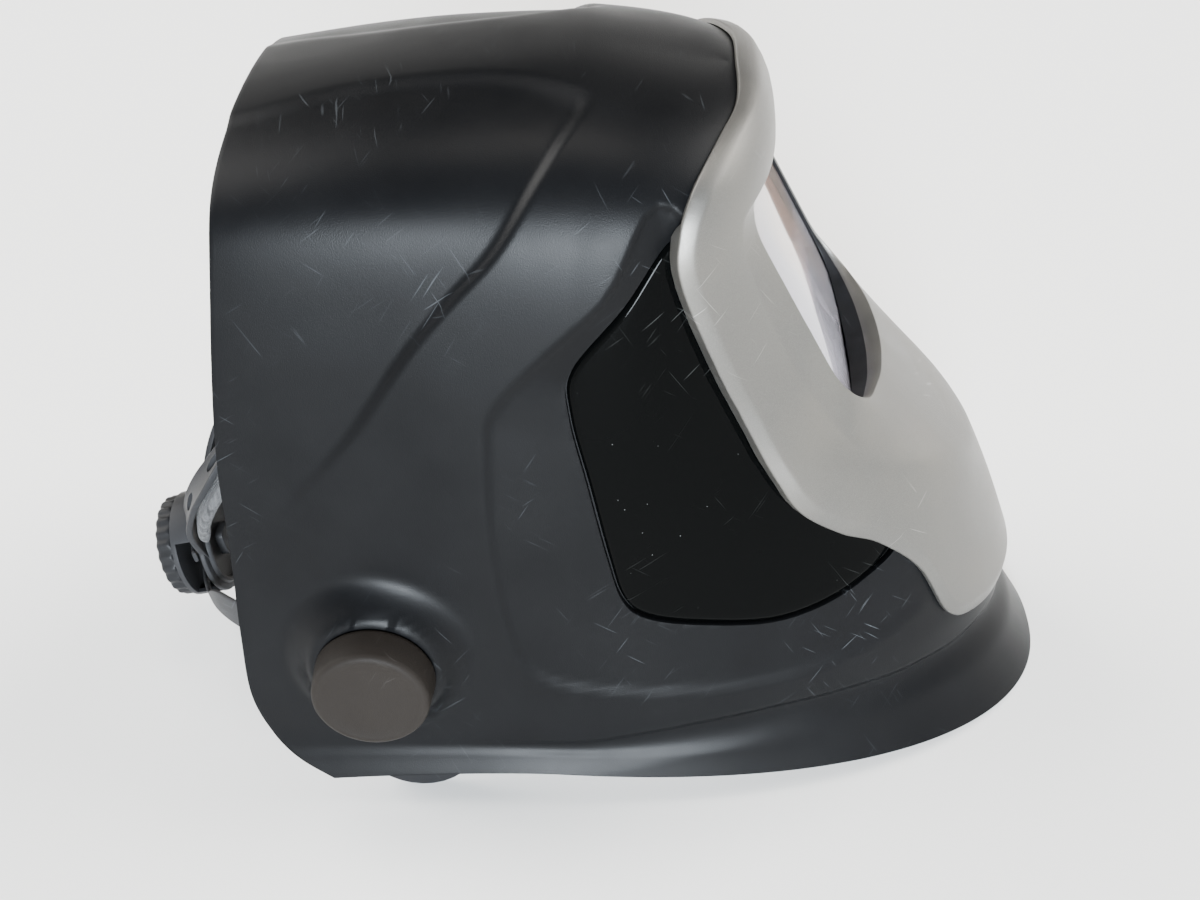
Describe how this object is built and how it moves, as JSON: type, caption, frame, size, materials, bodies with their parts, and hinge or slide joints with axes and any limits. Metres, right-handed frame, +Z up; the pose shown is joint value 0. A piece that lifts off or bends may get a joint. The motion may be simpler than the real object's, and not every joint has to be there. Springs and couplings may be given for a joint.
{
  "type": "welding helmet",
  "caption": "Auto-darkening welding helmet: moulded black shell with side windows, silver front cover over a filter cassette, pivot knobs and a ratchet head harness that tilts inside it.",
  "frame": {"origin": "middle of the bounding box, on the surface that the helmet rests on", "axes": "+X towards the wearer's left, +Y towards the back of the head (the face looks along -Y), +Z up"},
  "size_m": [0.2448, 0.3642, 0.2619],
  "materials": {
    "satin_black_shell": "satin",
    "silver_paint": "satin",
    "clear_polycarbonate": "clear and glossy",
    "filter_glass": "dark coated glass",
    "dark_side_glass": "dark and glossy",
    "black_nylon": "satin",
    "grey_nylon": "satin",
    "knob_black": "matte",
    "sensor_window": "glossy",
    "steel": "zinc plated",
    "cell_steel": "bright",
    "pad_fabric": "woven over foam"
  },
  "bodies": {
    "shell": {"helmet_shell": "satin_black_shell", "side_window_right": "dark_side_glass", "side_window_left": "dark_side_glass", "front_cover": "silver_paint", "outer_protection_plate": "clear_polycarbonate", "filter_housing": "black_nylon", "filter_glass": "filter_glass", "inner_protection_plate": "clear_polycarbonate", "arc_sensor_1": "sensor_window", "arc_sensor_2": "sensor_window", "arc_sensor_3": "sensor_window"},
    "shade_button": {"shade_button": "grey_nylon"},
    "sensitivity_button": {"sensitivity_button": "grey_nylon"},
    "delay_button": {"delay_button": "grey_nylon"},
    "battery_drawer_right": {"battery_holder_right": "black_nylon", "battery_cell_right": "cell_steel"},
    "battery_drawer_left": {"battery_holder_left": "black_nylon", "battery_cell_left": "cell_steel"},
    "knob_right": {"pivot_knob_right": "knob_black"},
    "knob_left": {"pivot_knob_left": "knob_black"},
    "harness_arms": {"side_arm_right": "black_nylon", "side_arm_left": "black_nylon", "pivot_stud_right": "steel", "pivot_stud_left": "steel", "friction_washer_right": "grey_nylon", "friction_washer_left": "grey_nylon"},
    "head_band": {"head_band": "grey_nylon", "front_sweatband": "pad_fabric", "crown_strap_front": "grey_nylon", "crown_strap_rear": "grey_nylon", "crown_pin_front": "black_nylon", "crown_pin_rear": "black_nylon", "distance_slider_right": "black_nylon", "distance_slider_left": "black_nylon"},
    "tail_right": {"band_tail_right": "grey_nylon"},
    "tail_left": {"band_tail_left": "grey_nylon"},
    "nape_cradle": {"nape_cradle": "grey_nylon", "dial_cover": "grey_nylon", "nape_pad": "pad_fabric"},
    "dial": {"ratchet_knob": "black_nylon", "ratchet_pinion": "black_nylon"}
  },
  "joints": [
    {"name": "shade_button_press", "type": "slide", "parent": "shell", "child": "shade_button", "axis": [0, -0.8918, 0.4524], "range_m": [0, 0.0008], "stiffness_N_per_m": 600, "springref_m": -0.0008},
    {"name": "sensitivity_button_press", "type": "slide", "parent": "shell", "child": "sensitivity_button", "axis": [0, -0.8918, 0.4524], "range_m": [0, 0.0008], "stiffness_N_per_m": 600, "springref_m": -0.0008},
    {"name": "delay_button_press", "type": "slide", "parent": "shell", "child": "delay_button", "axis": [0, -0.8918, 0.4524], "range_m": [0, 0.0008], "stiffness_N_per_m": 600, "springref_m": -0.0008},
    {"name": "battery_drawer_right_slide", "type": "slide", "parent": "shell", "child": "battery_drawer_right", "axis": [-1, 0, 0], "range_m": [0, 0.008]},
    {"name": "battery_drawer_left_slide", "type": "slide", "parent": "shell", "child": "battery_drawer_left", "axis": [1, 0, 0], "range_m": [0, 0.008]},
    {"name": "knob_right_turn", "type": "hinge", "parent": "shell", "child": "knob_right", "pos_m": [-0.1084, 0.07363, 0.07078], "axis": [-1, 0, 0], "range_deg": [0, 360]},
    {"name": "knob_left_turn", "type": "hinge", "parent": "shell", "child": "knob_left", "pos_m": [0.1084, 0.07363, 0.07078], "axis": [1, 0, 0], "range_deg": [0, 360]},
    {"name": "helmet_tilt", "type": "hinge", "parent": "shell", "child": "harness_arms", "pos_m": [0, 0.07363, 0.07078], "axis": [-1, 0, 0], "range_deg": [-70, 15]},
    {"name": "face_distance", "type": "slide", "parent": "harness_arms", "child": "head_band", "axis": [0, -0.9974, -0.0715], "range_m": [-0.008, 0.008]},
    {"name": "tail_left_flex", "type": "hinge", "parent": "head_band", "child": "tail_left", "pos_m": [0.0746, 0.08667, 0.06036], "axis": [0, 0.1857, 0.9826], "range_deg": [-6.2, 6.2]},
    {"name": "tail_right_flex", "type": "hinge", "parent": "head_band", "child": "tail_right", "pos_m": [-0.0746, 0.08667, 0.06036], "axis": [0, -0.1857, -0.9826], "range_deg": [-6.2, 6.2]},
    {"name": "cradle_draw", "type": "slide", "parent": "head_band", "child": "nape_cradle", "axis": [0, -0.9826, 0.1857], "range_m": [-0.0082, 0.0082]},
    {"name": "dial_turn", "type": "hinge", "parent": "nape_cradle", "child": "dial", "pos_m": [0, 0.16539, 0.04549], "axis": [0, -0.9826, 0.1857], "range_deg": [-120, 120]}
  ],
  "couplings": [
    {"joint": "tail_left_flex", "follows": "dial_turn", "ratio": 0.0506},
    {"joint": "tail_right_flex", "follows": "dial_turn", "ratio": 0.0506},
    {"joint": "cradle_draw", "follows": "dial_turn", "m_per_rad": 0.00377}
  ]
}
